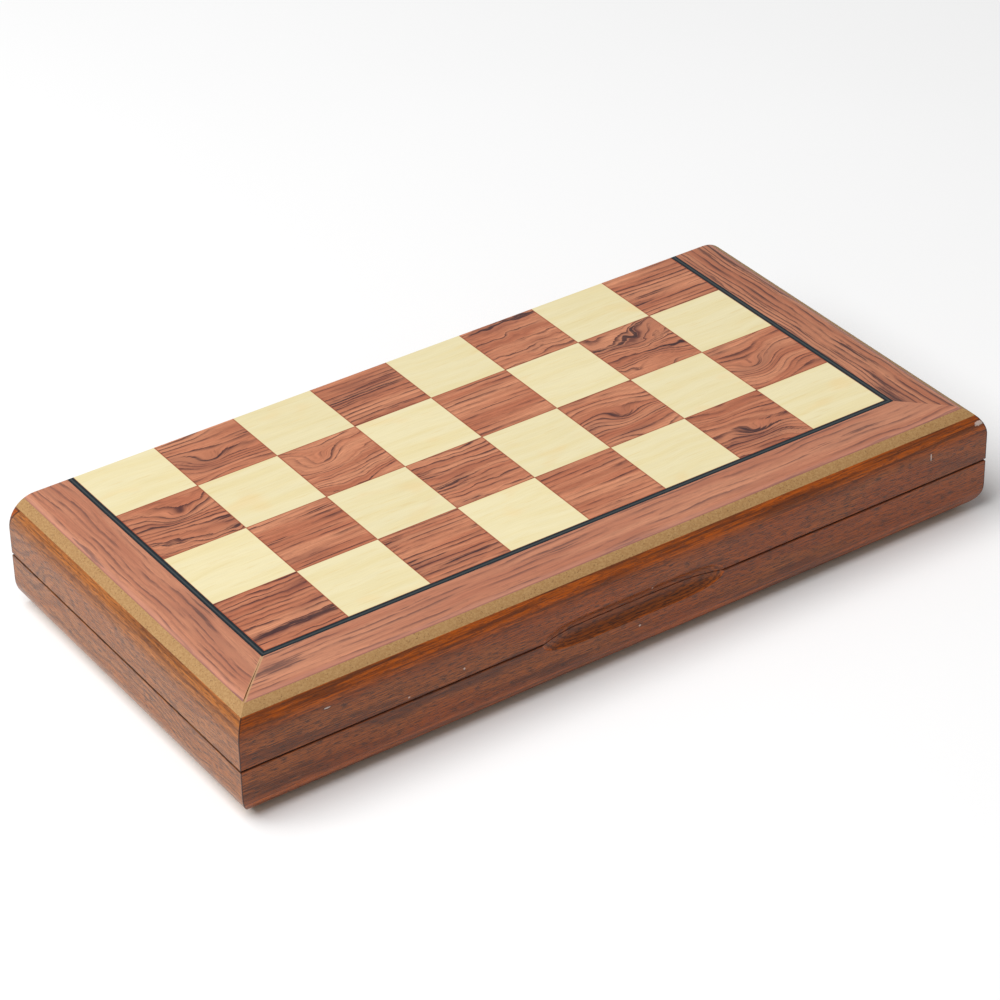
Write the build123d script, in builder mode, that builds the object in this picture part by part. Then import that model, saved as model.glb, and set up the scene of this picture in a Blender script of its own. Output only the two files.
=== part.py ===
from build123d import *
import os
from math import sqrt

# Folding chess case with its men. Closed, it is a flat box: the base half lies on its playing face,
# and the lid half is its mirror image above the seam. Units are millimetres. +Z is up, +X runs along
# the hinge, +Y points to the hinge. The origin is the centre of the case's footprint, on the table.

# ---- Driving dimensions ----
square = 31.2              # side of a full square of the board
side_margin = 25.2         # from the outer squares to the case's side
hinge_row = 29.0           # depth of the row beside the hinge, trimmed by the saw cut
case_height = 41.4
rim_gap = 0.3              # daylight between the two rims when closed
rim_ease = 0.35            # small chamfer on the outer edge of each rim
veneer = 0.8
panel = 3.0                # board with its veneer
round_over = 10.5
wall = 10.0                # thickness of the frame rails
glue_line = 0.05           # joint between neighbouring squares
inlay = 2.2                # width of the black line
open_mitre = 1.0           # how far the lid's near left mitre has opened at the outer corner

scoop_length = 72.0
scoop_height = 10.3
scoop_depth = 3.1
scoop_run_out = 18.0       # length over which the scoop fades out at each end

hinge_offset = 95.0        # from the middle of the case to each hinge
hinge_length = 25.0
hinge_reach = 7.5          # from the pin to the leaf's inner edge
leaf = 1.0
knuckle_radius = 2.0
pin_radius = 1.0
pin_clearance = 0.03
knuckle_clearance = 0.3
back_gap = 0.15            # from each back face to the pin's axis, along Y
screw_spacing = 14.0
screw_length = 8.0
screw_shank = 0.9
screw_head = 1.7

magnet_radius = 3.0
magnet_thickness = 2.5
magnet_offset = 120.0

tray_drop = 4.8            # from the seam down to the tray's top
tray_clearance = 0.2
tray_corner = 3.0
pocket_clearance = 0.3
pocket_pitch = 34.0
pocket_wall = 4.3          # from the frame rail to the end of a pocket
axis_drop = 6.6            # from the seam down to the axis of a stored man
trough_width = 22.0
trough_length = 268.0
trough_floor = 2.0
felt = 0.6
felt_inset = 0.7           # felt disc inside the edge of the foot

# The height and base radius of each man, felt included
men = {
    "king": (58.0, 10.0),
    "queen": (52.0, 9.5),
    "bishop": (46.0, 9.0),
    "knight": (42.0, 9.0),
    "rook": (36.0, 9.0),
    "pawn": (32.0, 8.25),
}
back_rank = ("rook", "knight", "bishop", "queen", "king", "bishop", "knight", "rook")

# ---- Worked out from them ----
columns = 8
rows = 4
case_length = columns * square + 2 * side_margin
case_depth = (rows - 1) * square + hinge_row + side_margin
seam = case_height / 2
rim = seam - rim_gap / 2
left = -case_length / 2
front = -case_depth / 2
back = case_depth / 2
field_left = left + side_margin
field_front = front + side_margin
border = side_margin - inlay
seam_plane = Plane.XY.offset(seam)
pin_y = back + back_gap
tray_top = seam - tray_drop
man_axis = seam - axis_drop
inner_front = front + wall
inner_back = back - wall
inner_length = case_length - 2 * wall
trough_middle = 13.0
# The men of the lid lie over the gaps between the men of the base.
base_first = -3.75 * pocket_pitch
lid_first = -3.25 * pocket_pitch

os.makedirs("parts", exist_ok=True)


def write(part, label):
    """Labels a finished piece and writes its file."""
    part.label = label
    export_step(part, f"parts/{label}.step")


def above_seam(part):
    """The lid's copy of a piece of the base, mirrored in the seam."""
    with BuildPart() as copy:
        mirror(part, about=seam_plane)
    return copy.part


def write_both(part, label):
    """Writes a piece of the base and its mirror image in the lid."""
    write(part, f"base_{label}")
    write(above_seam(part), f"lid_{label}")


# ---- Case ----
def half_case():
    """The solid outer form of the base half: three rounded playing-face edges and a straight back."""
    with BuildPart() as form:
        with BuildSketch(Plane.YZ.offset(left)):
            with BuildLine():
                rim_line = Polyline(
                    (back, 0), (back, rim - rim_ease), (back - rim_ease, rim),
                    (front + rim_ease, rim), (front, rim - rim_ease), (front, round_over),
                )
                edge = JernArc(rim_line @ 1, rim_line % 1, round_over, 90)
                Line(edge @ 1, rim_line @ 0)
            make_face()
        extrude(amount=case_length)
        with BuildSketch(Plane.XZ.offset(-back)):
            with BuildLine():
                rim_line = Polyline(
                    (-left, round_over), (-left, rim - rim_ease), (-left - rim_ease, rim),
                    (left + rim_ease, rim), (left, rim - rim_ease), (left, round_over),
                )
                near = JernArc(rim_line @ 1, (0, -1), round_over, 90)
                far = JernArc(rim_line @ 0, (0, -1), round_over, -90)
                Line(near @ 1, far @ 1)
            make_face()
        extrude(amount=case_depth, mode=Mode.INTERSECT)
    return form.part


def cut_from_case(corners, low, high):
    """The part of the half case inside a plan outline and between two heights."""
    with BuildPart() as piece:
        with BuildSketch(Plane.XY.offset(low)):
            with BuildLine():
                Polyline(*corners, close=True)
            make_face()
        extrude(amount=high - low)
        add(outer_form, mode=Mode.INTERSECT)
    return piece.part


def squares(parity):
    """Every other square of the half board, those whose column plus row leaves this remainder."""
    with BuildPart() as tiles:
        for row in range(rows):
            deep = hinge_row if row == rows - 1 else square
            middle_y = field_front + row * square + deep / 2
            for column in range(columns):
                if (column + row) % 2 != parity:
                    continue
                middle_x = field_left + (column + 0.5) * square
                with Locations((middle_x, middle_y, veneer / 2)):
                    Box(square - glue_line, deep - glue_line, veneer)
    return tiles.part


def inlay_line():
    """The black line in front of the squares and at both of their ends, mitred at its corners."""
    out = left + border
    near = front + border
    lines = [[(out, near), (-out, near), (-field_left, field_front), (field_left, field_front)]]
    for side in (1, -1):
        mitre = [(side * out, near + glue_line), (side * field_left, field_front + glue_line)]
        lines.append(mitre + [(side * field_left, back), (side * out, back)])
    with BuildPart() as line:
        for corners in lines:
            with BuildSketch():
                with BuildLine():
                    Polyline(*corners, close=True)
                make_face()
            extrude(amount=veneer)
    return line.part


def border_veneers(opening):
    """Front, left and right strips of the border, with the near left mitre open by this much."""
    near = front + border
    inner = left + border
    front_corners = [(left, front), (-left, front), (-inner, near), (inner, near)]
    left_corners = [(left, front + opening), (inner, near), (inner, back), (left, back)]
    right_corners = [(-left, front), (-inner, near), (-inner, back), (-left, back)]
    return {
        "front_border": cut_from_case(front_corners, 0, veneer),
        "left_border": cut_from_case(left_corners, 0, veneer),
        "right_border": cut_from_case(right_corners, 0, veneer),
    }


def board_panel():
    """The board that carries the veneers. Its edge shows in the round-over."""
    corners = [(left, front), (-left, front), (-left, back), (left, back)]
    return cut_from_case(corners, veneer, panel)


def scoop_cutter():
    """A finger scoop: a round cutter that enters, runs along the seam and leaves on wide curves."""
    radius = ((scoop_height / 2) ** 2 + scoop_depth**2) / (2 * scoop_depth)
    turn_radius = (scoop_run_out**2 + scoop_depth**2) / (2 * scoop_depth)
    path_y = front + scoop_depth - radius
    straight = scoop_length / 2 - scoop_run_out
    reach = 30
    with BuildPart() as cutter:
        with BuildLine(Plane.XY.offset(seam)) as path:
            middle = Line((-straight, path_y), (straight, path_y))
            JernArc(middle @ 1, (1, 0), turn_radius, -reach)
            JernArc(middle @ 0, (-1, 0), turn_radius, reach)
        start = path.line @ 0
        with BuildSketch(Plane(start, z_dir=path.line % 0)):
            Circle(radius)
        sweep(path=path.line)
    return cutter.part


def rail(corners):
    """One rail of the frame, from the board to the rim, mitred as its plan outline says."""
    return cut_from_case(corners, panel, rim)


def front_rail():
    """The front rail, with the scoop and the sockets of the magnets."""
    corners = [
        (left, front), (-left, front), (-left - wall, inner_front), (left + wall, inner_front),
    ]
    with BuildPart() as piece:
        add(rail(corners))
        add(scoop_cutter(), mode=Mode.SUBTRACT)
        add(magnets(), mode=Mode.SUBTRACT)
    return piece.part


def magnets():
    """Disc magnets, flush with the rim of the front rail."""
    middle_z = rim - magnet_thickness / 2
    with BuildPart() as discs:
        with Locations(*[(x, front + wall / 2, middle_z) for x in (-magnet_offset, magnet_offset)]):
            Cylinder(magnet_radius, magnet_thickness)
    return discs.part


def end_rails():
    """The left and the right rail."""
    left_corners = [
        (left, front), (left + wall, inner_front), (left + wall, inner_back), (left, back),
    ]
    right_corners = [(-x, y) for x, y in left_corners]
    return rail(left_corners), rail(right_corners)


def back_rail():
    """The back rail, let in for the hinge leaves, their knuckles and their screws."""
    corners = [
        (left, back), (left + wall, inner_back), (-left - wall, inner_back), (-left, back),
    ]
    room = 0.1
    deep = back - pin_y + hinge_reach + room
    with BuildPart() as piece:
        add(rail(corners))
        with Locations(*[(x, back - deep / 2, rim - leaf / 2) for x in (-hinge_offset, hinge_offset)]):
            Box(hinge_length + 2 * room, deep, leaf, mode=Mode.SUBTRACT)
        with Locations(*[(x, pin_y, seam) for x in (-hinge_offset, hinge_offset)]):
            Cylinder(
                knuckle_radius + knuckle_clearance, hinge_length + 2 * knuckle_clearance,
                rotation=(0, 90, 0), mode=Mode.SUBTRACT,
            )
        add(hinge_screws(), mode=Mode.SUBTRACT)
    return piece.part


# ---- Hinges ----
def knuckle_spans(on_lid):
    """Centre and length of each knuckle along the hinge: one on the lid, two on the base."""
    middle = hinge_length / 3 + knuckle_clearance
    outer = (hinge_length - middle) / 2 - knuckle_clearance
    if on_lid:
        return [(0, middle)]
    offset = (hinge_length - outer) / 2
    return [(-offset, outer), (offset, outer)]


def hinge_leaf(middle_x, on_lid):
    """A leaf let into the rim, with its knuckles, drilled for the pin and the screws."""
    plate_inner = pin_y - hinge_reach
    plate_outer = pin_y - knuckle_radius - knuckle_clearance
    middle_z = rim - leaf / 2
    with BuildPart() as piece:
        with Locations((middle_x, (plate_inner + plate_outer) / 2, middle_z)):
            Box(hinge_length, plate_outer - plate_inner, leaf)
        for offset, length in knuckle_spans(on_lid):
            with Locations((middle_x + offset, (plate_outer + pin_y) / 2, middle_z)):
                Box(length, pin_y - plate_outer, leaf)
            with Locations((middle_x + offset, pin_y, seam)):
                Cylinder(knuckle_radius, length, rotation=(0, 90, 0))
        with Locations((middle_x, pin_y, seam)):
            Cylinder(
                pin_radius + pin_clearance, hinge_length + 1, rotation=(0, 90, 0), mode=Mode.SUBTRACT,
            )
        add(hinge_screws(), mode=Mode.SUBTRACT)
    return piece.part


def hinge_pin(middle_x):
    """The pin through the knuckles of one hinge."""
    with BuildPart() as piece:
        with Locations((middle_x, pin_y, seam)):
            Cylinder(pin_radius, hinge_length, rotation=(0, 90, 0))
        chamfer(piece.edges().filter_by(GeomType.CIRCLE), 0.2)
    return piece.part


def hinge_screws():
    """The countersunk wood screws of both leaves, flush with the leaves, driven down from the rim."""
    middle_y = pin_y - (hinge_reach + knuckle_radius + knuckle_clearance) / 2
    places = [
        (side * hinge_offset + end * screw_spacing / 2, middle_y)
        for side in (-1, 1)
        for end in (-1, 1)
    ]
    head_depth = screw_head - screw_shank
    tip = screw_shank * 2
    with BuildPart() as piece:
        for x, y in places:
            with BuildSketch(Plane((x, y, rim), x_dir=(1, 0, 0), z_dir=(0, -1, 0))):
                with BuildLine():
                    Polyline(
                        (0, 0), (screw_head, 0), (screw_shank, -head_depth),
                        (screw_shank, tip - screw_length), (0, -screw_length), close=True,
                    )
                make_face()
            revolve(axis=Axis((x, y, 0), (0, 0, 1)))
    return piece.part


def cross_slots(screws):
    """The screws with a crossed recess cut in each head."""
    middle_y = pin_y - (hinge_reach + knuckle_radius + knuckle_clearance) / 2
    slot_depth = 0.5
    slot_width = 0.4
    slot_length = 1.9
    with BuildPart() as piece:
        add(screws)
        for side in (-1, 1):
            for end in (-1, 1):
                x = side * hinge_offset + end * screw_spacing / 2
                with Locations((x, middle_y, rim - slot_depth / 2)):
                    Box(slot_length, slot_width, slot_depth, mode=Mode.SUBTRACT)
                    Box(slot_width, slot_length, slot_depth, mode=Mode.SUBTRACT)
    return piece.part


# ---- Men, each upright on the origin, the felt below its foot ----
def foot_outline(radius):
    """Underside, rim, torus and cushion of a turned foot. Returns where the stem begins."""
    rim_wall = Polyline((0, 0), (radius - 0.4, 0), (radius, 0.4), (radius, 0.17 * radius))
    torus = ThreePointArc(rim_wall @ 1, (0.96 * radius, 0.30 * radius), (0.84 * radius, 0.36 * radius))
    step = Polyline(torus @ 1, (0.79 * radius, 0.36 * radius), (0.79 * radius, 0.40 * radius))
    cushion = ThreePointArc(step @ 1, (0.72 * radius, 0.57 * radius), (0.56 * radius, 0.66 * radius))
    fillet_line = Polyline(cushion @ 1, (0.51 * radius, 0.66 * radius), (0.51 * radius, 0.70 * radius))
    return fillet_line @ 1


def stem_outline(start, neck_radius, neck_height, bow):
    """The concave stem, up to the underside of the collar."""
    middle = ((start.X + neck_radius) / 2 - bow, (start.Y + neck_height) / 2)
    stem = ThreePointArc(start, middle, (neck_radius, neck_height))
    return stem @ 1


def collar_outline(start, radius, thickness):
    """A rounded collar with a thin ring above it. Returns where the head begins."""
    half = thickness / 2
    under = Line(start, (radius - half, start.Y))
    rounding = ThreePointArc(
        under @ 1, (radius, start.Y + half), (radius - half, start.Y + thickness),
    )
    ring_radius = radius - 2.2 * half
    ring = Polyline(
        rounding @ 1, (ring_radius, start.Y + thickness), (ring_radius, start.Y + 1.5 * thickness),
    )
    return ring @ 1


def turned_body(kind, neck_radius, neck_height, collar_radius, head_outline):
    """A man turned on the lathe: foot, stem and collar, then the outline of its head."""
    height, radius = men[kind]
    with BuildPart() as piece:
        with BuildSketch(Plane.XZ):
            with BuildLine():
                stem_start = foot_outline(radius)
                neck = stem_outline(stem_start, neck_radius, neck_height, 0.1 * radius)
                shoulder = collar_outline(neck, collar_radius, 1.3)
                crown = head_outline(shoulder, height - felt)
                Line(crown, (0, 0))
            make_face()
        revolve(axis=Axis.Z)
    return piece.part


def ball_outline(start, radius, neck_radius, top):
    """A ball on a short neck, closed on the axis at this height."""
    centre = top - radius
    seat = centre - sqrt(radius**2 - neck_radius**2)
    neck = Line(start, (neck_radius, seat))
    ball = ThreePointArc(neck @ 1, (radius, centre), (0, top))
    return ball @ 1


def pawn():
    def head(start, top):
        return ball_outline(start, 5.3, 2.6, top)

    return turned_body("pawn", 2.8, 17.2, 5.2, head)


def rook():
    wall_radius = 6.7
    well_radius = 4.5
    well_depth = 2.6
    notches = 3

    def head(start, top):
        flare = ThreePointArc(start, (5.0, start.Y + 2.2), (wall_radius, start.Y + 4.4))
        tower = Polyline(
            flare @ 1, (wall_radius, top), (well_radius, top),
            (well_radius, top - well_depth), (0, top - well_depth),
        )
        return tower @ 1

    turned = turned_body("rook", 4.6, 21.0, 6.6, head)
    top = men["rook"][0] - felt
    with BuildPart() as piece:
        add(turned)
        with Locations(*[Location((0, 0, top), (0, 0, 180 / notches * n)) for n in range(notches)]):
            Box(2 * wall_radius + 1, 1.9, 2 * 2.0, mode=Mode.SUBTRACT)
    return piece.part


def bishop():
    finial = 1.9

    def head(start, top):
        mitre_top = top - 2 * finial + 0.5
        mitre = ThreePointArc(start, (5.1, start.Y + 4.6), (1.3, mitre_top))
        return ball_outline(mitre @ 1, finial, 1.2, top)

    turned = turned_body("bishop", 3.1, 26.0, 5.8, head)
    slot_height = 37.6
    slot_tilt = 55
    with BuildPart() as piece:
        add(turned)
        with Locations(Location((3.4, 0, slot_height), (0, -slot_tilt, 0))):
            Box(7.0, 12.0, 0.9, mode=Mode.SUBTRACT)
    return piece.part


def queen():
    crown_radius = 6.5
    crown_drop = 6.4       # from the top of the ball down to the rim of the crown
    points = 9
    scallop = 1.5

    def head(start, top):
        crown_top = top - crown_drop
        flare = ThreePointArc(start, (4.2, (start.Y + crown_top) / 2), (crown_radius, crown_top))
        bevel = Line(flare @ 1, (crown_radius - 1.0, crown_top + 1.2))
        dome = ThreePointArc(bevel @ 1, (4.0, crown_top + 1.6), (1.6, crown_top + 2.4))
        return ball_outline(dome @ 1, 1.9, 1.3, top)

    turned = turned_body("queen", 3.3, 32.0, 6.4, head)
    rim_height = men["queen"][0] - felt - crown_drop + 1.0
    with BuildPart() as piece:
        add(turned)
        with Locations((0, 0, rim_height)):
            with PolarLocations(crown_radius + 0.4, points):
                Sphere(scallop, mode=Mode.SUBTRACT)
    return piece.part


def king():
    crown_radius = 6.3
    cross_height = 5.6
    bar = 1.7
    span = 4.6

    def head(start, top):
        crown_top = top - cross_height - 3.2
        flare = ThreePointArc(start, (4.4, (start.Y + crown_top) / 2), (crown_radius, crown_top))
        bevel = Line(flare @ 1, (crown_radius - 1.0, crown_top + 1.0))
        dome = ThreePointArc(bevel @ 1, (3.4, crown_top + 2.6), (0, top - cross_height))
        return dome @ 1

    turned = turned_body("king", 3.6, 35.5, 6.8, head)
    top = men["king"][0] - felt
    with BuildPart() as piece:
        add(turned)
        with Locations((0, 0, top - (cross_height + 1) / 2)):
            Box(bar, bar, cross_height + 1)
        with Locations((0, 0, top - 0.42 * cross_height)):
            Box(span, bar, bar)
    return piece.part


def horse_head(low, top):
    """A horse's head and neck, carved from the outlines of its side, its front and its plan."""
    foot_half = 4.8
    ear_half = 2.2
    muzzle_half = 1.7
    mane_half = 1.0
    plan_reach = 8.2
    reach = 12.0
    eye = (3.3, 3.75, 32.8)
    nostril = (6.5, 2.75, 26.4)
    locks = ((-2.2, 38.7), (-4.7, 35.7), (-6.4, 31.9), (-7.2, 27.6), (-7.4, 23.2), (-7.2, 18.8))
    with BuildPart() as head:
        with BuildSketch(Plane.XZ):
            with BuildLine():
                chest = ThreePointArc((5.4, low), (6.2, 12.4), (2.8, 19.0))
                throat = ThreePointArc(chest @ 1, (1.2, 22.0), (2.2, 24.6))
                cheek = ThreePointArc(throat @ 1, (3.6, 24.9), (4.8, 23.6))
                muzzle = Polyline(cheek @ 1, (6.4, 22.8), (7.4, 23.7), (7.6, 25.6), (7.0, 27.8))
                face = ThreePointArc(muzzle @ 1, (5.4, 31.6), (4.4, 35.4))
                brow = Polyline(face @ 1, (3.4, 37.2), (2.8, top), (0.9, 38.9), (-0.6, 39.4))
                crest = ThreePointArc(brow @ 1, (-4.9, 35.9), (-7.0, 29.0))
                nape = ThreePointArc(crest @ 1, (-7.3, 19.0), (-5.8, low))
                Line(nape @ 1, chest @ 0)
            make_face()
        extrude(amount=foot_half, both=True)
        with BuildSketch(Plane.YZ):
            with BuildLine():
                flank = ThreePointArc((foot_half, low), (foot_half - 0.3, 24.0), (ear_half, top))
                Line(flank @ 1, (-ear_half, top))
                other = ThreePointArc((-ear_half, top), (0.3 - foot_half, 24.0), (-foot_half, low))
                Line(other @ 1, flank @ 0)
            make_face()
        extrude(amount=reach, both=True, mode=Mode.INTERSECT)
        with BuildSketch():
            with BuildLine():
                left = ThreePointArc((plan_reach, muzzle_half), (0.5, foot_half), (-plan_reach, mane_half))
                Line(left @ 1, (-plan_reach, -mane_half))
                right = ThreePointArc(
                    (-plan_reach, -mane_half), (0.5, -foot_half), (plan_reach, -muzzle_half),
                )
                Line(right @ 1, left @ 0)
            make_face()
        extrude(amount=top + 1, mode=Mode.INTERSECT)
        with Locations((7.4, 0, 24.7)):
            Box(3.4, 2 * foot_half, 0.5, rotation=(0, 20, 0), mode=Mode.SUBTRACT)
        with Locations(*[(x, 0, z) for x, z in locks]):
            Cylinder(0.75, 2 * foot_half, rotation=(90, 0, 0), mode=Mode.SUBTRACT)
        with Locations(*[(eye[0], side * eye[1], eye[2]) for side in (-1, 1)]):
            Cylinder(0.8, 1.2, rotation=(90, 0, 0), mode=Mode.SUBTRACT)
        with Locations(*[(nostril[0], side * nostril[1], nostril[2]) for side in (-1, 1)]):
            Sphere(0.6, mode=Mode.SUBTRACT)
    return head.part


def knight():
    """A turned foot that carries a carved horse's head, seen from its side in the XZ plane."""
    height, radius = men["knight"]
    plinth_top = 0.86 * radius
    plinth_radius = 0.72 * radius
    seat = plinth_top - 0.5
    head = horse_head(seat, height - felt)
    with BuildPart() as piece:
        with BuildSketch(Plane.XZ):
            with BuildLine():
                stem_start = foot_outline(radius)
                Polyline(
                    stem_start, (plinth_radius, plinth_top - 1.0), (plinth_radius, plinth_top),
                    (0, plinth_top), (0, 0),
                )
            make_face()
        revolve(axis=Axis.Z)
        add(head)
    return piece.part


def felt_disc(kind):
    """The felt under a man's foot."""
    radius = men[kind][1] - felt_inset
    with BuildPart() as disc:
        with Locations((0, 0, -felt / 2)):
            Cylinder(radius, felt)
    return disc.part


# ---- Storage ----
def stored(part, kind, slot, first):
    """A man or its felt, laid in its pocket of the base: foot at the wall, head to the trough."""
    x = first + slot * pocket_pitch
    if kind == "pawn":
        place = Location((x, inner_back - pocket_wall - felt, man_axis), (90, 0, 0))
    else:
        place = Location((x, inner_front + pocket_wall + felt, man_axis), (-90, 0, 0))
    with BuildPart() as laid:
        with Locations(place):
            add(part)
    return laid.part


def pocket(kind, x):
    """The room of one stored man, round below its axis and open to the seam."""
    height, radius = men[kind]
    wide = radius + pocket_clearance
    length = height + 2 * pocket_clearance
    if kind == "pawn":
        far_end = inner_back - pocket_wall + pocket_clearance
    else:
        far_end = inner_front + pocket_wall - pocket_clearance + length
    with BuildPart() as room:
        with BuildSketch(Plane((x, far_end, man_axis), x_dir=(1, 0, 0), z_dir=(0, -1, 0))):
            Circle(wide)
            with Locations((0, wide)):
                Rectangle(2 * wide, 2 * wide)
        extrude(amount=length)
    return room.part


def tray(first):
    """The flocked tray of the base: a round-bottomed pocket for each man and a finger trough."""
    length = inner_length - 2 * tray_clearance
    depth = inner_back - inner_front - 2 * tray_clearance
    brim_ease = 0.5
    places = [first + slot * pocket_pitch for slot in range(columns)]
    pockets = [pocket(kind, x) for kind, x in zip(back_rank, places)]
    pockets += [pocket("pawn", x) for x in places]
    with BuildPart() as piece:
        with BuildSketch(Plane.XY.offset(panel)):
            RectangleRounded(length, depth, tray_corner)
        extrude(amount=tray_top - panel)
        with BuildSketch(Plane.XY.offset(panel + trough_floor)):
            with Locations((0, trough_middle)):
                RectangleRounded(trough_length, trough_width, tray_corner)
        extrude(amount=tray_top, mode=Mode.SUBTRACT)
        for room in pockets:
            add(room, mode=Mode.SUBTRACT)
        brim = piece.edges().filter_by(lambda edge: edge.bounding_box().min.Z > tray_top - 0.01)
        chamfer(brim, brim_ease)
    return piece.part


# ---- Make and write the pieces ----
outer_form = half_case()
write_both(board_panel(), "board_panel")
write(squares(1), "base_dark_squares")
write(squares(0), "base_light_squares")
write(above_seam(squares(0)), "lid_dark_squares")
write(above_seam(squares(1)), "lid_light_squares")
write_both(inlay_line(), "inlay_line")
for name, strip in border_veneers(0).items():
    write(strip, f"base_{name}")
for name, strip in border_veneers(open_mitre).items():
    write(above_seam(strip), f"lid_{name}")

write_both(front_rail(), "front_rail")
for name, end_rail in zip(("left_rail", "right_rail"), end_rails()):
    write_both(end_rail, name)
write_both(back_rail(), "back_rail")
write_both(magnets(), "magnets")

for side, x in (("left", -hinge_offset), ("right", hinge_offset)):
    write(hinge_leaf(x, on_lid=False), f"base_{side}_hinge_leaf")
    write(above_seam(hinge_leaf(x, on_lid=True)), f"lid_{side}_hinge_leaf")
    write(hinge_pin(x), f"{side}_hinge_pin")
write_both(cross_slots(hinge_screws()), "hinge_screws")

write(tray(base_first), "base_tray")
write(above_seam(tray(lid_first)), "lid_tray")

makers = {"king": king, "queen": queen, "bishop": bishop, "knight": knight, "rook": rook, "pawn": pawn}
upright = {kind: make() for kind, make in makers.items()}
for side, first in (("white", base_first), ("black", lid_first)):
    with BuildPart() as pawns:
        for slot in range(columns):
            add(stored(upright["pawn"], "pawn", slot, first))
    with BuildPart() as felts:
        for slot, kind in enumerate(back_rank):
            add(stored(felt_disc(kind), kind, slot, first))
            add(stored(felt_disc("pawn"), "pawn", slot, first))
    pieces = {f"{side}_pawns": pawns.part, f"{side}_felts": felts.part}
    for slot, kind in enumerate(back_rank):
        flank = "" if kind in ("king", "queen") else ("_left" if slot < columns / 2 else "_right")
        pieces[f"{side}_{kind}{flank}"] = stored(upright[kind], kind, slot, first)
    for name, part in pieces.items():
        write(part if side == "white" else above_seam(part), name)
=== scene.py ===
import math

import bpy
from mathutils import Matrix, Vector


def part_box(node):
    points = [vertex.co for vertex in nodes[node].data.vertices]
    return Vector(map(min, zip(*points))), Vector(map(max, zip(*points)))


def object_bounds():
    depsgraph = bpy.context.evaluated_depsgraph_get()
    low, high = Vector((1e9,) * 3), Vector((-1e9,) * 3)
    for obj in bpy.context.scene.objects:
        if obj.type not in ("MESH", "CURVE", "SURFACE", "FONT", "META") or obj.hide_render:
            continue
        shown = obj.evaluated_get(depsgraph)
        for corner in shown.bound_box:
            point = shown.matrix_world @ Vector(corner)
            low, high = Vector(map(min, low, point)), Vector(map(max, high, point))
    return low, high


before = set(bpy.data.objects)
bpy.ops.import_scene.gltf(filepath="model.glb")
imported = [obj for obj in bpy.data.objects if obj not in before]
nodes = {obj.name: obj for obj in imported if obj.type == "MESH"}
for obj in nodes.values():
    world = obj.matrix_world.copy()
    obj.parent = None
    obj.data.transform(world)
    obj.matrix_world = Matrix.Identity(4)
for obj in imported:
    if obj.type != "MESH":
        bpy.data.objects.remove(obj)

# Looks of a folding chess case with its men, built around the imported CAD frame. Lengths are in
# metres. The materials work in millimetres of the object's own coordinates, so their grain has a
# real scale.

cad_low, cad_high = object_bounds()

MM = 0.001

# Places on the case, from the frame, in millimetres
RAIL_LOW, RAIL_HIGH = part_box("lid_front_rail")
FIELD_LOW, FIELD_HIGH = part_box("lid_light_squares")
INLAY_LOW, INLAY_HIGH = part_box("lid_inlay_line")
COLUMNS = 8
SIDE_X = RAIL_HIGH.x / MM                     # outer face of the end rails
FRONT_Y = RAIL_LOW.y / MM                     # outer face of the front rails
SEAM = cad_high.z / MM / 2                    # where the two halves meet
INLAY_X = INLAY_HIGH.x / MM                   # outer edge of the inlay at its ends
INLAY_Y = INLAY_LOW.y / MM                    # outer edge of the inlay in front
SQUARE = (FIELD_HIGH.x - FIELD_LOW.x) / COLUMNS / MM
FIELD_LEFT = FIELD_LOW.x / MM
FIELD_FRONT = FIELD_LOW.y / MM

# Sizes of the woodwork, in millimetres
ROUNDING_LOW = 10.2                           # from the seam to where the rounded edge begins
SCOOP_DEPTH = 3.2                             # how far the finger scoop goes into the front
SCOOP_RISE = 5.2                              # from the seam to the scoop's edge
KNOT_SIZE = (8.0, 4.5)                        # reach of a knot in a dark square, along X and Y
INLAY_LINE = 1.05                             # from the inlay's outer edge to its greyer line
CUT_APART = (300.0, 170.0)                    # how far apart two squares may lie in their veneer
LIGHT_CELLS = 40                              # gives light squares other random values than dark

VENEER_ROUGHNESS = 0.32
PORE_DEPTH = 0.03 * MM                        # depths of the bumps, in metres
BOARD_GRAIN_DEPTH = 0.04 * MM
PILE_DEPTH = 0.25 * MM
METAL_LINE_DEPTH = 0.008 * MM

# The photograph's view, solved from the squares on the board, and its light: metres and degrees
CAMERA_PLACE = (-0.57751, -0.85840, 0.70660)
CAMERA_TURN, CAMERA_RISE, CAMERA_ROLL = -33.82, 33.45, -1.31
LENS_MM, SENSOR_MM = 131.46, 36.0
KEY_PLACE, KEY_SIZE, KEY_WATTS = (-1.25, 0.1, 2.1), (2.2, 2.2), 73
ROOM_LIGHT = 0.28
FLOOR_REACH = 6.0


def srgb(red, green, blue):
    """A linear colour from display values of 0 to 255."""
    def linear(value):
        share = value / 255
        return share / 12.92 if share <= 0.04045 else ((share + 0.055) / 1.055) ** 2.4
    return (linear(red), linear(green), linear(blue), 1.0)


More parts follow.
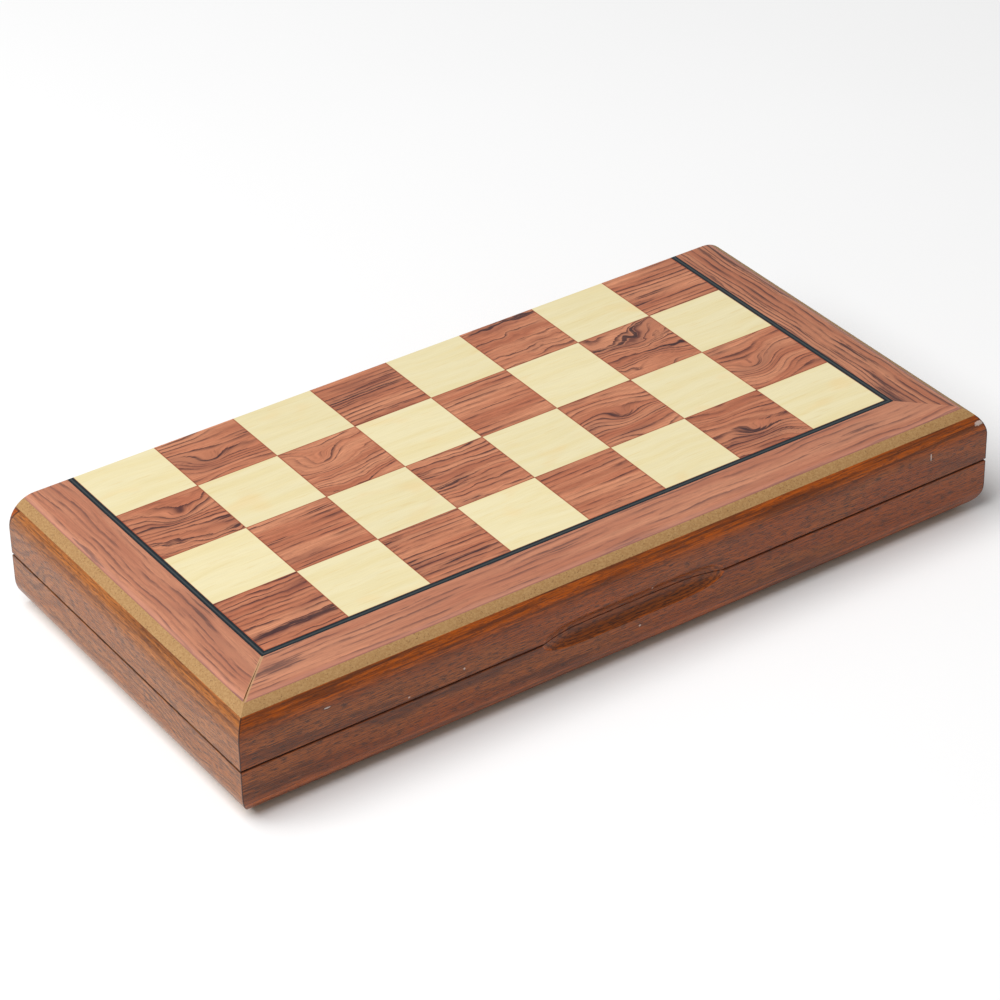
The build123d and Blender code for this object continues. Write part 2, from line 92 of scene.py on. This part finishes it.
# ---- Node graphs ----
class Graph:
    """A material's node tree, written as calls. A socket or a number can be given for any input."""

    def __init__(self, name):
        self.material = bpy.data.materials.new(name)
        self.material.use_nodes = True
        self.tree = self.material.node_tree
        self.tree.nodes.clear()
        self.shader = self.tree.nodes.new("ShaderNodeBsdfPrincipled")
        output = self.tree.nodes.new("ShaderNodeOutputMaterial")
        self.tree.links.new(self.shader.outputs["BSDF"], output.inputs["Surface"])

    def feed(self, socket, value):
        if isinstance(value, bpy.types.NodeSocket):
            self.tree.links.new(value, socket)
        else:
            socket.default_value = value

    def node(self, kind, inputs, **settings):
        made = self.tree.nodes.new(kind)
        for name, value in settings.items():
            setattr(made, name, value)
        for key, value in inputs.items():
            self.feed(made.inputs[key], value)
        return made

    def math(self, operation, first, second=0.0):
        return self.node("ShaderNodeMath", {0: first, 1: second}, operation=operation).outputs[0]

    def add(self, first, second):
        return self.math("ADD", first, second)

    def times(self, first, second):
        return self.math("MULTIPLY", first, second)

    def vector(self, x, y, z):
        return self.node("ShaderNodeCombineXYZ", {"X": x, "Y": y, "Z": z}).outputs[0]

    def position(self):
        """The place in the object's own coordinates, in millimetres, as X, Y and Z."""
        coordinates = self.node("ShaderNodeTexCoord", {}).outputs["Object"]
        split = self.node("ShaderNodeSeparateXYZ", {"Vector": coordinates}).outputs
        return [self.times(axis, 1 / MM) for axis in split]

    def noise(self, x, y, z, detail, roughness=0.5):
        """Smooth noise from 0 to 1 whose cells are 1 wide. detail is the number of finer layers."""
        inputs = {
            "Vector": self.vector(x, y, z), "Scale": 1.0, "Detail": detail,
            "Roughness": roughness, "Distortion": 0.0,
        }
        return self.node("ShaderNodeTexNoise", inputs).outputs[0]

    def cell(self, x, y, z):
        """Three random values from 0 to 1 for a place, the same wherever the place is the same."""
        noise = self.node("ShaderNodeTexWhiteNoise", {"Vector": self.vector(x, y, z)})
        return self.node("ShaderNodeSeparateXYZ", {"Vector": noise.outputs["Color"]}).outputs

    def step(self, value, low, high, out_low=0.0, out_high=1.0):
        """A smooth step of value between low and high."""
        inputs = {
            "Value": value, "From Min": low, "From Max": high, "To Min": out_low, "To Max": out_high,
        }
        settings = {"interpolation_type": "SMOOTHSTEP", "clamp": True}
        return self.node("ShaderNodeMapRange", inputs, **settings).outputs[0]

    def mix(self, share, first, second, blend="MIX"):
        """Two colours mixed. share is how much of the second; 6, 7 and 2 are the colour sockets."""
        made = self.node("ShaderNodeMix", {}, data_type="RGBA", blend_type=blend)
        self.feed(made.inputs["Factor"], share)
        self.feed(made.inputs[6], first)
        self.feed(made.inputs[7], second)
        return made.outputs[2]

    def scale_colour(self, colour, value):
        """A colour times a value."""
        channels = {"Red": value, "Green": value, "Blue": value}
        grey = self.node("ShaderNodeCombineColor", channels).outputs[0]
        return self.mix(1.0, colour, grey, "MULTIPLY")

    def bump(self, height, distance):
        """Bumps of this depth in metres for a height from 0 to 1."""
        inputs = {"Height": height, "Distance": distance, "Strength": 1.0}
        self.feed(self.shader.inputs["Normal"], self.node("ShaderNodeBump", inputs).outputs[0])

    def finish(self, colour, roughness, specular=0.5, coat=0.0, coat_roughness=0.1, metallic=0.0):
        """The material, once its shader has these values."""
        self.feed(self.shader.inputs["Base Color"], colour)
        self.feed(self.shader.inputs["Roughness"], roughness)
        self.shader.inputs["Specular IOR Level"].default_value = specular
        self.shader.inputs["Coat Weight"].default_value = coat
        self.shader.inputs["Coat Roughness"].default_value = coat_roughness
        self.shader.inputs["Metallic"].default_value = metallic
        return self.material


# ---- Veneers ----
def centred(g, value, amount):
    """A noise value moved to lie about 0, times an amount."""
    return g.times(g.math("SUBTRACT", value, 0.5), amount)


def rosewood_colour(g, u, v, seed, swirl, jag, density):
    """Salmon brown wood with groups of dark streaks. The fibres run straight along u. The growth
    layers bend across them: swirl and jag, in millimetres, are their wide curves and short zigzags.
    density moves the share of dark wood."""
    wide = g.noise(g.times(u, 0.030), g.times(v, 0.045), seed, 1.0)
    close = g.noise(g.times(u, 0.14), g.times(v, 0.16), g.add(seed, 7.3), 1.0)
    bent = g.add(v, g.add(centred(g, wide, swirl), centred(g, close, jag)))
    ground = g.noise(g.times(u, 0.012), g.times(bent, 0.16), g.add(seed, 3.1), 3.0)
    colour = g.mix(g.step(ground, 0.32, 0.68), srgb(208, 139, 104), srgb(180, 107, 77))
    # fibres, which also feather the streaks
    fibre = g.noise(g.times(u, 0.045), g.times(v, 1.9), g.add(seed, 5.9), 3.0, 0.6)
    hair = g.noise(g.times(u, 0.30), g.times(v, 3.6), g.add(seed, 9.4), 1.0)
    colour = g.scale_colour(colour, g.step(fibre, 0.25, 0.75, 0.80, 1.16))
    colour = g.scale_colour(colour, g.step(hair, 0.30, 0.70, 0.90, 1.07))
    feather = g.add(centred(g, fibre, 0.30), centred(g, hair, 0.22))
    # growth layers, each darkening slowly up to a sharp edge
    drift = g.noise(g.times(u, 0.007), g.times(bent, 0.085), g.add(seed, 14.2), 2.0)
    layer = g.add(g.add(g.times(bent, 0.41), g.times(drift, 3.4)), g.times(feather, 0.9))
    phase = g.math("FRACT", layer)
    along = g.noise(g.times(u, 0.045), g.times(g.math("FLOOR", layer), 3.7), g.add(seed, 21.6), 2.0)
    strength = g.step(g.add(g.add(along, feather), density), 0.36, 0.62, 0.06, 0.95)
    ring = g.times(g.step(phase, 0.46, 0.95), g.step(phase, 0.95, 1.0, 1.0, 0.0))
    colour = g.mix(g.times(ring, strength), colour, srgb(70, 36, 38))
    # smoky bands
    zone = g.noise(g.times(u, 0.030), g.times(bent, 0.11), g.add(seed, 11.7), 1.5)
    smoke = g.add(g.add(zone, feather), density)
    colour = g.mix(g.step(smoke, 0.53, 0.82, 0.0, 0.62), colour, srgb(104, 54, 48))
    # bold streaks
    gathered = g.add(g.add(centred(g, zone, 0.55), feather), density)
    bold = g.noise(g.times(u, 0.020), g.times(bent, 0.50), g.add(seed, 19.1), 2.0, 0.55)
    colour = g.mix(g.step(g.add(bold, gathered), 0.64, 0.76, 0.0, 0.92), colour, srgb(54, 32, 38))
    # short pores
    pore = g.noise(g.times(u, 0.40), g.times(v, 3.2), g.add(seed, 31.3), 1.0)
    return g.mix(g.step(pore, 0.62, 0.76, 0.0, 0.40), colour, srgb(92, 50, 44))


def place_in_square(g, x, y):
    """How far a place is from the left and the front edge of its square, in millimetres."""
    return [
        g.math("FLOORED_MODULO", g.math("SUBTRACT", place, start), SQUARE)
        for place, start in ((x, FIELD_LEFT), (y, FIELD_FRONT))
    ]


def square_edges(g, x, y):
    """How far a place is from the nearest edge of its square, in millimetres."""
    distances = []
    for inside in place_in_square(g, x, y):
        distances.append(g.math("MINIMUM", inside, g.math("SUBTRACT", SQUARE, inside)))
    return g.math("MINIMUM", *distances)


def square_cell(g, x, y, half):
    """Three random values of the square that a place is in, other ones for each value of half."""
    column = g.math("FLOOR", g.times(g.math("SUBTRACT", x, FIELD_LEFT), 1 / SQUARE))
    row = g.math("FLOOR", g.times(g.math("SUBTRACT", y, FIELD_FRONT), 1 / SQUARE))
    return g.cell(g.add(column, 0.5), g.add(row, 0.5), half)


def near_knot(g, x, y, across, up):
    """1 at one place inside each square, placed by two random values, falling to 0 around it."""
    parts = []
    for inside, share, size in zip(place_in_square(g, x, y), (across, up), KNOT_SIZE):
        middle = g.add(0.25 * SQUARE, g.times(share, 0.5 * SQUARE))
        part = g.times(g.math("SUBTRACT", inside, middle), 1 / size)
        parts.append(g.times(part, part))
    return g.math("EXPONENT", g.times(g.add(*parts), -1.0))


def dark_square(half):
    """Rosewood squares, each cut from another place. Their figure runs from straight to swirled,
    and some have a knot. half is 1 for the lid and 2 for the base."""
    g = Graph(f"rosewood_squares_{half}")
    x, y, _ = g.position()
    spread, tone, offset = square_cell(g, x, y, half)
    swirl = g.step(spread, 0.25, 0.95, 2.0, 30.0)
    jag = g.step(offset, 0.45, 0.95, 0.8, 5.5)
    u = g.add(x, g.times(offset, CUT_APART[0]))
    v = g.add(y, g.times(tone, CUT_APART[1]))
    knot = g.times(near_knot(g, x, y, tone, offset), g.step(spread, 0.50, 0.62))
    v = g.add(v, g.times(knot, 5.5))
    density = g.add(centred(g, tone, 0.09), g.times(knot, 0.07))
    colour = rosewood_colour(g, u, v, g.times(spread, 73.0), swirl, jag, density)
    edge = g.step(square_edges(g, x, y), 0.10, 0.55, 0.6, 0.0)
    colour = g.mix(edge, colour, srgb(150, 62, 34))
    return g.finish(colour, VENEER_ROUGHNESS)


def border_veneer(name, along_y, seed, density, tone, sheen_share):
    """A border strip of the same rosewood, with its grain along the strip. Where it turns over the
    edge it has a painted pale highlight and ends in a thin purple line. The open mitre shows a tan
    core.
    density moves the share of dark wood, tone scales the lightness, and the last number is the share
    of painted pinkish sheen mixed in."""
    g = Graph(name)
    x, y, z = g.position()
    u, v = (y, x) if along_y else (x, y)
    colour = rosewood_colour(g, u, v, seed, swirl=5.0, jag=0.8, density=density)
    # a share of painted pinkish sheen mixed in, then the lightness scaled
    colour = g.scale_colour(g.mix(sheen_share, colour, srgb(202, 144, 120)), tone)
    height = g.math("ABSOLUTE", g.math("SUBTRACT", z, SEAM))
    # painted highlight: paler where the strip turns over the edge
    edge_highlight = g.step(height, SEAM - 0.50, SEAM - 0.12, 0.26, 0.0)
    colour = g.mix(edge_highlight, colour, srgb(206, 150, 132))
    last = g.step(height, SEAM - 0.78, SEAM - 0.60, 0.6, 0.0)
    colour = g.mix(last, colour, srgb(120, 72, 76))
    from_mitre = g.math("SUBTRACT", g.add(x, SIDE_X), g.math("SUBTRACT", y, FRONT_Y))
    lip = g.step(g.math("ABSOLUTE", from_mitre), 0.50, 0.95, 0.65, 0.0)
    colour = g.mix(lip, colour, srgb(196, 158, 116))
    return g.finish(colour, VENEER_ROUGHNESS)


def light_square(half):
    """Pale veneer with faint yellow grain along X, and a thin brown glue line round each square.
    half is 1 for the lid and 2 for the base."""
    g = Graph(f"light_squares_{half}")
    x, y, _ = g.position()
    spread, tone, offset = square_cell(g, x, y, half + LIGHT_CELLS)
    u = g.add(x, g.times(offset, CUT_APART[0]))
    v = g.add(y, g.times(spread, CUT_APART[1]))
    seed = g.times(tone, 60.0)
    bend = g.noise(g.times(u, 0.03), g.times(v, 0.04), seed, 1.0)
    bent = g.add(v, g.times(bend, 7.0))
    band = g.noise(g.times(u, 0.016), g.times(bent, 0.22), g.add(seed, 4.0), 3.0)
    colour = g.mix(g.step(band, 0.35, 0.75), srgb(235, 223, 180), srgb(232, 217, 167))
    warmth = g.noise(g.times(u, 0.06), g.times(bent, 0.09), g.add(seed, 15.0), 1.0)
    colour = g.mix(g.step(warmth, 0.60, 0.80, 0.0, 0.40), colour, srgb(238, 206, 146))
    fleck = g.noise(g.times(u, 0.09), g.times(v, 1.1), g.add(seed, 6.0), 2.0)
    colour = g.mix(g.step(fleck, 0.58, 0.76, 0.0, 0.35), colour, srgb(224, 198, 138))
    fibre = g.noise(g.times(u, 0.10), g.times(bent, 2.4), g.add(seed, 9.0), 2.0)
    colour = g.scale_colour(colour, g.step(fibre, 0.2, 0.8, 0.96, 1.02))
    colour = g.scale_colour(colour, g.add(0.955, g.times(spread, 0.05)))
    edge = g.step(square_edges(g, x, y), 0.06, 0.26, 0.8, 0.0)
    colour = g.mix(edge, colour, srgb(176, 96, 58))
    return g.finish(colour, 0.34)


def inlay_black():
    """The black line, with a greyer line along its middle."""
    g = Graph("inlay_black")
    x, y, _ = g.position()
    fleck = g.noise(g.times(x, 0.6), g.times(y, 0.6), 0.0, 2.0)
    colour = g.mix(g.step(fleck, 0.3, 0.75), srgb(14, 24, 32), srgb(24, 36, 42))
    from_side = g.math("SUBTRACT", INLAY_X, g.math("ABSOLUTE", x))
    from_outside = g.math("MINIMUM", from_side, g.math("SUBTRACT", y, INLAY_Y))
    off_line = g.math("ABSOLUTE", g.math("SUBTRACT", from_outside, INLAY_LINE))
    colour = g.mix(g.step(off_line, 0.10, 0.45, 0.75, 0.0), colour, srgb(66, 74, 76))
    return g.finish(colour, 0.34)


def fibreboard():
    """Tan board core with fine dark specks."""
    g = Graph("fibreboard")
    x, y, z = g.position()
    cloud = g.noise(g.times(x, 1.1), g.times(y, 1.1), g.times(z, 2.0), 3.0, 0.7)
    colour = g.mix(g.step(cloud, 0.3, 0.7), srgb(178, 140, 92), srgb(160, 120, 74))
    speck = g.noise(g.times(x, 1.9), g.times(y, 1.9), g.times(z, 2.2), 1.0)
    colour = g.mix(g.step(speck, 0.62, 0.74, 0.0, 0.60), colour, srgb(92, 62, 40))
    g.bump(cloud, BOARD_GRAIN_DEPTH)
    return g.finish(colour, 0.6, specular=0.3)


# ---- Solid woods ----
def inward_distances(g, x, y):
    """How far a place is inside the ends and inside the long faces of the case."""
    from_side = g.math("SUBTRACT", SIDE_X, g.math("ABSOLUTE", x))
    from_front = g.math("SUBTRACT", -FRONT_Y, g.math("ABSOLUTE", y))
    return from_side, from_front


def joint_shadow(g, x, y):
    """1 at the mitres of the frame, where the end rails meet the front and back rails."""
    off = g.math("ABSOLUTE", g.math("SUBTRACT", *inward_distances(g, x, y)))
    return g.step(off, 0.15, 0.48, 1.0, 0.0)


def seam_shadow(g, x, y, height):
    """Dark at the eased outer edge of the rim, where the two halves meet."""
    inward = g.math("MINIMUM", *inward_distances(g, x, y))
    return g.times(g.step(inward, 0.3, 0.5, 1.0, 0.0), g.step(height, 0.2, 0.6, 0.8, 0.0))


def spot(g, x, z, centre, half_size, edge):
    """1 inside an oval place on an upright face, with a frayed edge."""
    across = g.times(g.math("SUBTRACT", x, centre[0]), 1 / half_size[0])
    up = g.times(g.math("SUBTRACT", z, centre[1]), 1 / half_size[1])
    reach = g.math("SQRT", g.add(g.times(across, across), g.times(up, up)))
    return g.step(g.add(reach, edge), 0.75, 1.0, 1.0, 0.0)


def scoop_rings(g, colour, y, height, fibre, tones):
    """The growth layers that the finger scoop cuts open: nested lines that follow its depth, and a
    painted highlight line at its edge. Elsewhere the colour stays as it is."""
    light, dark, warm = tones
    inward = g.math("SUBTRACT", y, FRONT_Y)
    inside = g.step(inward, SCOOP_DEPTH, SCOOP_DEPTH + 0.3, 1.0, 0.0)
    inside = g.times(g.step(inward, 0.04, 0.12), inside)
    inside = g.times(inside, g.step(height, SCOOP_RISE, SCOOP_RISE + 0.8, 1.0, 0.0))
    inside = g.times(inside, g.step(height, 0.16, 0.24))
    wave = g.math("SINE", g.add(g.times(inward, 9.0), g.times(fibre, 4.0)))
    colour = g.mix(g.times(inside, 0.55), colour, light)
    colour = g.mix(g.times(inside, g.step(wave, 0.2, 0.9, 0.0, 0.75)), colour, dark)
    # painted highlight: a line in the rounded edge's highlight colour along the scoop's edge
    edge = g.times(inside, g.step(inward, 0.18, 0.42, 0.85, 0.0))
    return g.mix(edge, colour, warm)


def rail_wood(name, along_y, seed, figure, tones, marks=(), scooped=False):
    """Brown hardwood with short dark pores along the rail. figure is how its growth layers lie:
    how fast they cross the face upwards, how many millimetres their bow bends them, and how many
    radians of layer there are in a millimetre. tones are its light, dark and warm wood, and the
    painted highlight colour of the rounded edge. marks are pale scuffs: the middle and the half size
    of each, along the rail and up. A scooped rail shows the layers that the finger scoop cuts open,
    with a painted highlight line at the scoop's edge."""
    light, dark, warm, highlight_tone = tones
    rise, bow_size, pitch = figure
    g = Graph(name)
    x, y, z = g.position()
    u, outward = (y, x) if along_y else (x, y)
    depth = g.times(g.math("ABSOLUTE", outward), -1.0)
    height = g.math("ABSOLUTE", g.math("SUBTRACT", z, SEAM))
    # growth layers
    bow = g.noise(g.times(u, 0.014), g.times(z, 0.03), seed, 1.0)
    ripple = g.noise(g.times(u, 0.06), g.times(z, 0.14), g.add(seed, 2.2), 2.0)
    bend = g.add(g.times(bow, bow_size), g.times(ripple, 2.0))
    layer = g.add(g.add(g.times(z, rise), g.times(depth, 2.0)), bend)
    fibre_depth = g.add(g.times(depth, 2.9), seed + 8.0)
    fibre = g.noise(g.times(u, 0.08), g.times(z, 2.9), fibre_depth, 3.0, 0.65)
    rings = g.math("SINE", g.add(g.times(layer, pitch), g.times(fibre, 3.5)))
    colour = g.mix(g.step(rings, -0.2, 0.95, 0.0, 0.8), light, dark)
    cloud = g.noise(g.times(u, 0.012), g.times(layer, 0.24), g.add(seed, 5.0), 2.0)
    colour = g.mix(g.step(cloud, 0.38, 0.62, 0.0, 0.8), colour, warm)
    colour = g.scale_colour(colour, g.step(fibre, 0.28, 0.72, 0.56, 1.24))
    # pores
    pore_depth = g.add(g.times(depth, 3.1), seed + 13.0)
    pore = g.noise(g.times(u, 0.30), g.times(z, 3.1), pore_depth, 2.0, 0.6)
    share = g.step(pore, 0.49, 0.62, 0.0, 0.82)
    # the rounded edge: a painted highlight colour, with streaks that run along it
    rounded = g.step(height, ROUNDING_LOW, ROUNDING_LOW + 4.0)
    streak = g.noise(g.times(u, 0.020), g.times(z, 0.75), g.add(seed, 23.0), 2.0, 0.6)
    highlight_and_streaks = g.mix(g.step(streak, 0.42, 0.62), highlight_tone, dark)
    highlight_and_streaks = g.scale_colour(highlight_and_streaks, g.step(fibre, 0.28, 0.72, 0.75, 1.15))
    colour = g.mix(g.times(rounded, 0.7), colour, highlight_and_streaks)
    if scooped:
        colour = scoop_rings(g, colour, y, height, fibre, (light, dark, highlight_tone))
    pore_share = g.times(share, g.add(1.0, g.times(rounded, -0.4)))
    colour = g.mix(pore_share, colour, srgb(60, 36, 26))
    # scuffs, and the shadows of the joints
    if marks:
        fray = centred(g, g.noise(g.times(u, 1.6), g.times(z, 1.6), seed, 2.0), 0.9)
        for centre, half_size in marks:
            scuff = spot(g, u, z, centre, half_size, fray)
            colour = g.mix(g.times(scuff, 0.7), colour, srgb(214, 200, 190))
    colour = g.mix(g.times(joint_shadow(g, x, y), 0.8), colour, srgb(48, 22, 14))
    colour = g.mix(seam_shadow(g, x, y, height), colour, srgb(40, 18, 12))
    g.bump(g.math("SUBTRACT", 1.0, share), PORE_DEPTH)
    return g.finish(colour, 0.30, specular=0.36)


def turned_wood(name, tones, seed):
    """Close-grained wood of the men, with its grain along Y, as they lie. tones are its light and
    dark wood and its pores."""
    light, dark, pore_colour = tones
    g = Graph(name)
    x, y, z = g.position()
    bow = g.noise(g.times(x, 0.08), g.times(y, 0.03), g.add(g.times(z, 0.08), seed), 2.0)
    layer = g.add(g.times(z, 1.0), g.times(bow, 9.0))
    ring = g.noise(g.times(x, 0.2), g.times(y, 0.02), g.times(layer, 0.55), 3.0)
    colour = g.mix(g.step(ring, 0.3, 0.7), light, dark)
    fibre = g.noise(g.times(x, 1.4), g.times(y, 0.10), g.times(z, 1.4), 2.0)
    colour = g.scale_colour(colour, g.step(fibre, 0.2, 0.8, 0.88, 1.08))
    pore = g.noise(g.times(x, 3.0), g.times(y, 0.5), g.times(z, 3.0), 1.0)
    colour = g.mix(g.step(pore, 0.64, 0.76, 0.0, 0.4), colour, pore_colour)
    return g.finish(colour, 0.30, coat=0.45, coat_roughness=0.12)


# ---- Fabric and metal ----
def flock(name, low, high, grain):
    """Short pile: clumps of darker and lighter fibre, with sheen."""
    g = Graph(name)
    x, y, z = g.position()
    clump = g.noise(g.times(x, 0.16), g.times(y, 0.16), g.times(z, 0.16), 3.0)
    pile = g.noise(g.times(x, grain), g.times(y, grain), g.times(z, grain), 2.0, 0.7)
    mixed = g.add(g.times(clump, 0.5), g.times(pile, 0.5))
    colour = g.mix(g.step(mixed, 0.35, 0.65), low, high)
    g.bump(pile, PILE_DEPTH)
    g.shader.inputs["Sheen Weight"].default_value = 0.5
    g.shader.inputs["Sheen Roughness"].default_value = 0.5
    g.shader.inputs["Sheen Tint"].default_value = high
    return g.finish(colour, 0.95, specular=0.1)


def metal(name, bright, dull, roughness):
    """Drawn metal with fine lines along X and dull spots."""
    g = Graph(name)
    x, y, z = g.position()
    line = g.noise(g.times(x, 0.15), g.times(y, 6.0), g.times(z, 6.0), 2.0)
    tarnish = g.noise(g.times(x, 0.5), g.times(y, 0.5), g.times(z, 0.5), 2.0)
    colour = g.mix(g.step(tarnish, 0.35, 0.7), bright, dull)
    rough = g.add(roughness, g.times(line, 0.12))
    g.bump(line, METAL_LINE_DEPTH)
    return g.finish(colour, rough, metallic=1.0)


def paint(name, material):
    """Gives a CAD node its material."""
    for slot in nodes[name].material_slots:
        slot.material = material


# ---- The materials and the pieces that have them ----
# the fourth tone of each is the painted highlight colour of the rounded edge
front_tones = (srgb(152, 80, 30), srgb(100, 48, 20), srgb(154, 70, 10), srgb(182, 86, 12))
front_figure = (0.2, 5.0, 2.2)
end_tones = (srgb(168, 105, 56), srgb(118, 67, 34), srgb(164, 94, 38), srgb(176, 108, 52))
end_figure = (0.8, 44.0, 2.6)
front_scuffs = (
    ((-88.0, 22.4), (0.5, 0.3)), ((-67.0, 24.6), (0.4, 0.4)), ((-118.0, 31.5), (1.2, 0.3)),
    ((9.0, 23.2), (0.3, 0.6)), ((2.0, 12.5), (0.5, 0.4)), ((125.0, 31.0), (0.3, 1.6)),
    ((147.0, 36.0), (2.0, 0.8)),
)
side_woods = {
    "front": rail_wood(
        "front_rail_wood", along_y=False, seed=3.0, figure=front_figure, tones=front_tones,
        marks=front_scuffs, scooped=True,
    ),
    "back": rail_wood(
        "back_rail_wood", along_y=False, seed=17.0, figure=front_figure, tones=front_tones,
    ),
    "left": rail_wood(
        "left_rail_wood", along_y=True, seed=29.0, figure=end_figure, tones=end_tones,
    ),
    "right": rail_wood(
        "right_rail_wood", along_y=True, seed=41.0, figure=end_figure, tones=end_tones,
    ),
}
# the last value of each border is its share of painted sheen, more on the front and left
side_veneers = {
    "front": border_veneer(
        "front_border_veneer", along_y=False, seed=5.0, density=-0.02, tone=0.93, sheen_share=0.24,
    ),
    "left": border_veneer(
        "left_border_veneer", along_y=True, seed=15.0, density=-0.02, tone=0.92, sheen_share=0.26,
    ),
    "right": border_veneer(
        "right_border_veneer", along_y=True, seed=25.0, density=0.08, tone=0.89, sheen_share=0.08,
    ),
}
board_core = fibreboard()
black_line = inlay_black()
green_flock = flock("tray_flock", srgb(16, 52, 34), srgb(34, 84, 56), grain=2.2)
green_felt = flock("men_felt", srgb(20, 66, 40), srgb(44, 104, 66), grain=1.6)
brass = metal("hinge_brass", srgb(240, 202, 122), srgb(216, 172, 94), roughness=0.32)
nickel = metal("magnet_nickel", srgb(222, 222, 218), srgb(196, 196, 194), roughness=0.16)
light_tones = (srgb(232, 196, 138), srgb(208, 164, 104), srgb(150, 104, 60))
dark_tones = (srgb(92, 48, 34), srgb(56, 28, 22), srgb(24, 12, 10))
light_wood = turned_wood("light_men_wood", light_tones, seed=1.0)
dark_wood = turned_wood("dark_men_wood", dark_tones, seed=7.0)

for number, half in enumerate(("lid", "base"), start=1):
    paint(f"{half}_dark_squares", dark_square(number))
    paint(f"{half}_light_squares", light_square(number))
    paint(f"{half}_inlay_line", black_line)
    paint(f"{half}_board_panel", board_core)
    paint(f"{half}_tray", green_flock)
    paint(f"{half}_magnets", nickel)
    paint(f"{half}_hinge_screws", brass)
    for side, wood in side_woods.items():
        paint(f"{half}_{side}_rail", wood)
    for side, veneer in side_veneers.items():
        paint(f"{half}_{side}_border", veneer)
    for side in ("left", "right"):
        paint(f"{half}_{side}_hinge_leaf", brass)
for side in ("left", "right"):
    paint(f"{side}_hinge_pin", brass)
for name in nodes:
    if name.endswith("_felts"):
        paint(name, green_felt)
    elif name.startswith("white_"):
        paint(name, light_wood)
    elif name.startswith("black_"):
        paint(name, dark_wood)


# ---- Floor, light and camera ----
def studio_floor():
    """A pale floor, far larger than the object."""
    mesh = bpy.data.meshes.new("floor")
    signs = ((-1, -1), (1, -1), (1, 1), (-1, 1))
    corners = [(across * FLOOR_REACH, along * FLOOR_REACH, 0) for across, along in signs]
    mesh.from_pydata(corners, [], [(0, 1, 2, 3)])
    floor = bpy.data.objects.new("floor", mesh)
    bpy.context.scene.collection.objects.link(floor)
    g = Graph("floor_paper")
    x, y, _ = g.position()
    tone = g.noise(g.times(x, 0.004), g.times(y, 0.004), 0.0, 2.0)
    colour = g.mix(tone, srgb(244, 244, 244), srgb(248, 248, 248))
    mesh.materials.append(g.finish(colour, 0.9, specular=0.1))


def area_light(name, place, aim, size, watts):
    """A white softbox at a place, turned towards another."""
    light = bpy.data.lights.new(name, "AREA")
    light.shape = "RECTANGLE"
    light.size, light.size_y = size
    light.energy = watts
    lamp = bpy.data.objects.new(name, light)
    lamp.location = place
    lamp.rotation_euler = (Vector(aim) - Vector(place)).to_track_quat("-Z", "Y").to_euler()
    bpy.context.scene.collection.objects.link(lamp)


def studio_light():
    """Soft light from above and to the left, over a dim room."""
    world = bpy.data.worlds.new("studio")
    world.use_nodes = True
    sky = world.node_tree.nodes["Background"]
    sky.inputs["Color"].default_value = (1.0, 1.0, 1.0, 1.0)
    sky.inputs["Strength"].default_value = ROOM_LIGHT
    bpy.context.scene.world = world
    area_light("key_softbox", KEY_PLACE, (0, 0, 0), KEY_SIZE, KEY_WATTS)


def photo_camera():
    """The view of the photograph: from the front left, a third of the way up, with a long lens."""
    turn, rise, roll = (math.radians(angle) for angle in (CAMERA_TURN, CAMERA_RISE, CAMERA_ROLL))
    lens = bpy.data.cameras.new("camera")
    lens.sensor_width = SENSOR_MM
    lens.lens = LENS_MM
    lens.clip_start, lens.clip_end = 0.05, 20.0
    camera = bpy.data.objects.new("camera", lens)
    camera.location = CAMERA_PLACE
    rotation = (
        Matrix.Rotation(turn, 4, "Z")
        @ Matrix.Rotation(math.pi / 2 - rise, 4, "X")
        @ Matrix.Rotation(roll, 4, "Z")
    )
    camera.rotation_euler = rotation.to_euler()
    bpy.context.scene.collection.objects.link(camera)
    bpy.context.scene.camera = camera


studio_floor()
studio_light()
photo_camera()
bpy.context.scene.view_settings.view_transform = "Standard"
